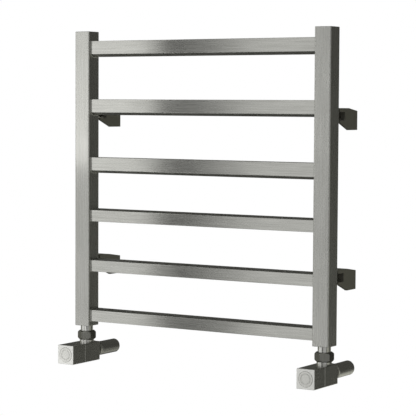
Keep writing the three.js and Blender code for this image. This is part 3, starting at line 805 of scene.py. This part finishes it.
# %% [markdown]
# ## The valves
# Under each upright sits a square corner valve. Water comes out of the wall through a sleeved pipe into
# the back of a square brass block, and leaves upwards through a neck, a hexagonal union nut and a collar
# into the upright. In front of the block is a square head of the same size: on the left a hand wheel, on
# the right a cap that pulls off a spindle with two spanner flats.

# %% The valve's block with its neck and spigot
VALVE_Y = FRAME_Y
VALVE_CORNER, VALVE_EDGE = 1.2 * MM, 0.45 * MM
BLOCK_HALF = (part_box("left_valve_head")[1].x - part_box("left_valve_head")[0].x) / 2
VALVE_Z = (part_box("left_valve_head")[0].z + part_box("left_valve_head")[1].z) / 2
BLOCK_FRONT, BLOCK_BACK = -27 * MM, 16 * MM
NECK_RADIUS, NECK_TOP, STUB_RADIUS, STUB_TOP = 12.3, 20.5, 12.0, 29.5
SPIGOT_RADIUS, SPIGOT_END = 9.8, 25.0


def square_run(low, high):
    """Rings and stations of the valve's rounded square carried along Y, over an edge radius at both ends."""
    stations, insets = skin(low, high, VALVE_EDGE)
    rings = [rounded(BLOCK_HALF - d, BLOCK_HALF - d, max(VALVE_CORNER - d, LEAST_CORNER)) for d in insets]
    return rings, stations


def valve_block(side, centre):
    """The square block united with its turned neck above and spigot behind."""
    name = f"valve_block_{side}"
    rings, stations = square_run(BLOCK_FRONT, BLOCK_BACK)
    block = closed_mesh(name, placed("y", rings, stations, centre), "flat")
    neck = turned("neck", "z", in_mm((0, 0), (NECK_RADIUS, 0), (NECK_RADIUS, NECK_TOP),
                                     (STUB_RADIUS, NECK_TOP), (STUB_RADIUS, STUB_TOP), (0, STUB_TOP)), centre)
    spigot = turned("spigot", "y", in_mm((0, 0), (SPIGOT_RADIUS, 0), (SPIGOT_RADIUS, SPIGOT_END),
                                         (0, SPIGOT_END)), centre)
    return piece(name, joined(name, [block, neck, spigot]), valve_steel, "valve_nickel", "rack",
                 f"{side}_valve_body")


# %% The head's hollow block
HEAD_FRONT, HEAD_BACK = -62 * MM, -27.6 * MM
RECESS_RADIUS, RECESS_FLOOR = 12.6 * MM, -59.8 * MM
POCKET_RADIUS, POCKET_FLOOR = 12.8 * MM, -33.6 * MM


def head_block(side, centre, bore_radius, bore_end, screw_way, body, node):
    """One surface that goes out of the bore, over the back pocket and the square outside, and into the round
    recess in front. A way for the screw, if there is one, opens the recess floor to the bore; otherwise
    both are closed with poles."""
    rings, stations = square_run(HEAD_FRONT, HEAD_BACK)
    front_first = list(zip(rings, stations))[::-1]
    path = [(circle(bore_radius), bore_end), (circle(bore_radius), POCKET_FLOOR),
            (circle(POCKET_RADIUS), POCKET_FLOOR), (circle(POCKET_RADIUS), HEAD_BACK), *front_first,
            (circle(RECESS_RADIUS + KEEP_FLAT), HEAD_FRONT), (circle(RECESS_RADIUS), HEAD_FRONT + KEEP_FLAT),
            (circle(RECESS_RADIUS), RECESS_FLOOR)]
    path += [(circle(radius), station) for radius, station in screw_way]
    grid = placed("y", [ring for ring, _ in path], [station for _, station in path], centre)
    mesh = closed_mesh(f"valve_head_{side}", grid, "loop" if screw_way else "poles")
    return piece(f"valve_head_{side}", mesh, valve_steel, "valve_nickel", body, node)


# %% [markdown]
# ## Union nut
# A hexagonal nut is a six-sided bar whose corners are turned off at both ends. As a surface that is the
# smaller of two radii at every angle and height: the hexagon's, which is half the width across flats over
# the cosine of the angle from the nearest flat, and the turned cone's. The arcs where the two meet are
# the marks that make a nut look like a nut.

# %% The nut
NUT_ROUND = 144
NUT_ANGLES = np.arange(NUT_ROUND) * 2 * np.pi / NUT_ROUND
NUT_RIM, NUT_SLOPE = 13.0 * MM, 1.15
NUT_HOLE, NUT_THREAD, NUT_LIP = 10.9 * MM, 12.2 * MM, 2.4 * MM
NUT_ROWS = 9


def union_nut(side, centre):
    """Rows up the outside at the smaller of hexagon and cone, then down the hole and the threaded bore."""
    low_corner, high_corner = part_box(f"{side}_valve_union_nut")
    low, high, half_flats = low_corner.z, high_corner.z, (high_corner.x - low_corner.x) / 2
    from_flat = (NUT_ANGLES + np.pi / 6) % (np.pi / 3) - np.pi / 6
    hexagon = half_flats / np.cos(from_flat)
    rise = (np.linspace(0, 1, NUT_ROWS) ** 2) * (high - low) / 2
    rise = np.concatenate([rise, (high - low) - rise[-2::-1]])
    cone = NUT_RIM + NUT_SLOPE * np.minimum(rise, (high - low) - rise)
    outside = np.minimum(hexagon[None, :], cone[:, None])
    directions = circle(1.0, NUT_ANGLES)
    rings = [radius[:, None] * directions for radius in outside]
    stations = list(low + rise)
    inside = [(NUT_HOLE, high), (NUT_HOLE, high - NUT_LIP), (NUT_THREAD, high - NUT_LIP), (NUT_THREAD, low)]
    rings += [radius * directions for radius, _ in inside]
    stations += [station for _, station in inside]
    grid = placed("z", rings, stations, (centre[0], centre[1], 0))
    return piece(f"union_nut_{side}", closed_mesh(f"union_nut_{side}", grid, "loop"), nut_nickel_painted_dark,
                 "valve_nickel", "rack", f"{side}_valve_union_nut")


# %% Collar, gland nut, sleeve, pipe, bonnet and cover
COLLAR = [(7.5, 31.3), (12, 31.3), (12, 33.5), (10.7, 33.5), (10.7, 45.5), (10.3, 45.5), (10.3, 52.5),
          (7.5, 52.5)]
GLAND_NUT = [(10, 16.3), (16.2, 16.3), (16.2, 20), (15.2, 20), (12, 32), (7.7, 32), (7.7, 29.3), (10, 29.3)]
SLEEVE = [(11, 32.3), (12, 32.3), (12, 83), (11, 83)]
SUPPLY_PIPE = [(6.5, 8), (7.5, 8), (7.5, 83), (6.5, 83)]
BONNET = [(4.2, -33), (12.2, -33), (12.2, -27), (9.8, -27), (9.8, -14), (4.2, -14)]
COVER = [(0, -62), (7.8, -62), (8.0, -61.75), (8.6, -61.75), (8.8, -62), (12.5, -62), (12.5, -60), (0, -60)]

TURNED_PIECES = [
    ("union_collar", "z", COLLAR, valve_steel, "valve_nickel", "valve_tailpiece"),
    ("gland_nut", "y", GLAND_NUT, nut_nickel_painted_dark, "valve_nickel", "valve_compression_nut"),
    ("pipe_sleeve", "y", SLEEVE, valve_steel, "valve_nickel", "pipe_sleeve"),
    ("supply_pipe", "y", SUPPLY_PIPE, copper, "copper_pipe", "supply_pipe"),
    ("valve_bonnet", "y", BONNET, brass, "brass", "valve_bonnet"),
]


def valve(side, x):
    """Everything under one upright that doesn't depend on which valve it is."""
    centre = (x, VALVE_Y, VALVE_Z)
    valve_block(side, centre)
    union_nut(side, centre)
    for name, axis, outline, material, slot, node in TURNED_PIECES:
        mesh = turned(f"{name}_{side}", axis, in_mm(*outline), centre, FINE_FILED)
        piece(f"{name}_{side}", mesh, material, slot, "rack", f"{side}_{node}")
    return centre


def cover(side, centre, body, node):
    """The turned round cover in the head's recess, with a shallow ring groove."""
    mesh = turned(f"head_cover_{side}", "y", in_mm(*COVER), centre, FINE_FILED)
    piece(f"head_cover_{side}", mesh, spun_nickel(f"spun_nickel_{side}", centre[0], centre[2]),
          "spun_nickel", body, node)


# %% Left: the hand wheel. Right: the pull-off cap and its spindle
WHEEL_BORE, WHEEL_BORE_END = 4.2 * MM, -55.9 * MM
SCREW_WAY = [(4.5 * MM, -59.8 * MM), (4.5 * MM, -57.4 * MM), (2.2 * MM, -57.4 * MM), (2.2 * MM, -55.9 * MM)]
CAP_BORE, CAP_BORE_END = 5.0 * MM, -48.0 * MM
SPINDLE_RADIUS, SPINDLE_FLAT, SPINDLE_FLAT_END, SPINDLE_EDGE = 4 * MM, 2.8 * MM, -38 * MM, 0.4 * MM
LEAST_COSINE = 0.1

left_centre = valve("left", SIDES["left"])
head_block("left", left_centre, WHEEL_BORE, WHEEL_BORE_END, SCREW_WAY, "left_head", "left_valve_head")
cover("left", left_centre, "left_head", "left_valve_head_disc")

right_centre = valve("right", SIDES["right"])
head_block("right", right_centre, CAP_BORE, CAP_BORE_END, [], "right_cap", "right_valve_cap")
cover("right", right_centre, "right_cap", "right_valve_cap_disc")


def shield_spindle(centre):
    """A round spindle whose outer end is cut to two flats: the smaller of the round radius and the flat's
    distance over the cosine of the angle, up to where the flats end."""
    low, high = (corner.y - centre[1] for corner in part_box("right_valve_spindle"))
    flat = np.minimum(SPINDLE_RADIUS, SPINDLE_FLAT / np.maximum(np.abs(np.cos(TURN_ANGLES)), LEAST_COSINE))
    full = np.full(TURN, SPINDLE_RADIUS)
    rows = [(flat - SPINDLE_EDGE, low), (flat, low + SPINDLE_EDGE), (flat, SPINDLE_FLAT_END),
            (full, SPINDLE_FLAT_END), (full, high)]
    rings = [radius[:, None] * circle(1.0, TURN_ANGLES) for radius, _ in rows]
    grid = placed("y", rings, [station for _, station in rows], centre)
    return piece("shield_spindle", closed_mesh("shield_spindle", grid, "poles"), brass, "brass",
                 "right_spindle", "right_valve_spindle")


shield_spindle(right_centre)

# %% [markdown]
# ## The air vent
# High on the back of the right upright a small turned plug lets trapped air out. Its body is nickel
# plated, with a flange against the tube, and the bleed screw in it stays as it was packed.

# %% Vent body
vent_low, vent_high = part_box("air_vent_body")
VENT_FLANGE, VENT_EDGE = 2 * MM, 0.4 * MM
VENT_CENTRE = (AXIS_X, vent_high.y - VENT_FLANGE, (vent_low.z + vent_high.z) / 2)
VENT_BODY = [(2.7, -8), (6.3, -8), (6.3, 0), (8.5, 0), (8.5, 2), (2.7, 2)]
piece("vent_body", turned("vent_body", "y", in_mm(*VENT_BODY), VENT_CENTRE, VENT_EDGE), valve_steel,
      "valve_nickel", "rack", "air_vent_body")

# %% [markdown]
# ## What stays as packed
# Screws, seals, olives and plugs have the right shape already, and most are out of sight. They keep their
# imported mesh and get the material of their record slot.

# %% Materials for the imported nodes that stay
BY_SLOT = {"tube_steel": tube_steel_upright, "welded_steel": welded_steel, "bracket_steel": bracket_steel,
           "fastener_steel": fastener_steel, "valve_nickel": valve_steel, "spun_nickel": valve_steel,
           "brass": brass, "copper_pipe": copper, "seal_rubber": seal_rubber}
for part in frame["record"]["subparts"]:
    node = frame["nodes"][part["node"]]
    node.data.materials.clear()
    node.data.materials.append(BY_SLOT[part["material_slot"]])
kept = sorted(name for name, node in frame["nodes"].items() if not node.hide_render)
print("kept as packed:", len(kept), kept)
